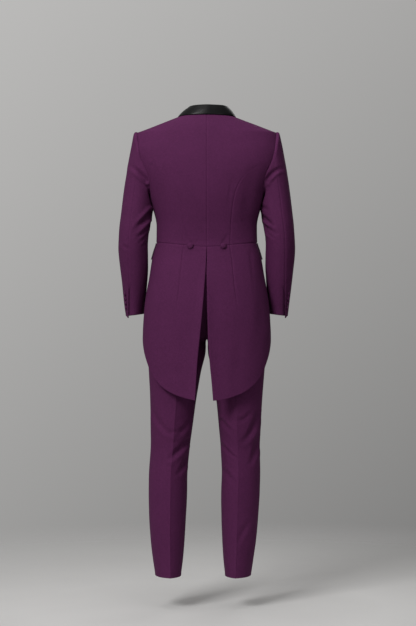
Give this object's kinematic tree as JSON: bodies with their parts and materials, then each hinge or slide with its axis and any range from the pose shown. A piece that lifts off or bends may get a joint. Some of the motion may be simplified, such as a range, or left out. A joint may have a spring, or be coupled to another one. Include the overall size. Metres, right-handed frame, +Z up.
{
  "type": "tailcoat suit",
  "caption": "Tailcoat with rounded tails, a satin collar and covered buttons, and slim creased trousers, held in the hollow form of being worn.",
  "frame": {"origin": "middle of the neck opening, level with the neck point of the shoulders, where the wearer carries the coat", "axes": "+Z up along the wearer, +X towards the wearer's left, -Y towards the front"},
  "size_m": [0.565, 0.2797, 1.501],
  "materials": {
    "wool": "smooth aubergine wool, fine twill",
    "satin": "black satin facing"
  },
  "bodies": {
    "root": {"back_left": "wool", "back_right": "wool", "side_back_left": "wool", "side_back_right": "wool", "front_left": "wool", "front_right": "wool", "tail_left": "wool", "tail_right": "wool", "skirt_left": "wool", "skirt_right": "wool", "flap_left": "wool", "flap_right": "wool", "sleeve_top_left": "wool", "sleeve_top_right": "wool", "sleeve_under_left": "wool", "sleeve_under_right": "wool", "waist_button_left": "wool", "waist_button_right": "wool", "trouser_back_left": "wool", "trouser_back_right": "wool", "trouser_front_left": "wool", "trouser_front_right": "wool", "cuff_button_left_1": "wool", "cuff_button_left_2": "wool", "cuff_button_left_3": "wool", "cuff_button_left_4": "wool", "cuff_button_right_1": "wool", "cuff_button_right_2": "wool", "cuff_button_right_3": "wool", "cuff_button_right_4": "wool", "front_button": "wool", "waistband": "wool", "collar": "satin", "lapel_left": "satin", "lapel_right": "satin"}
  },
  "joints": []
}
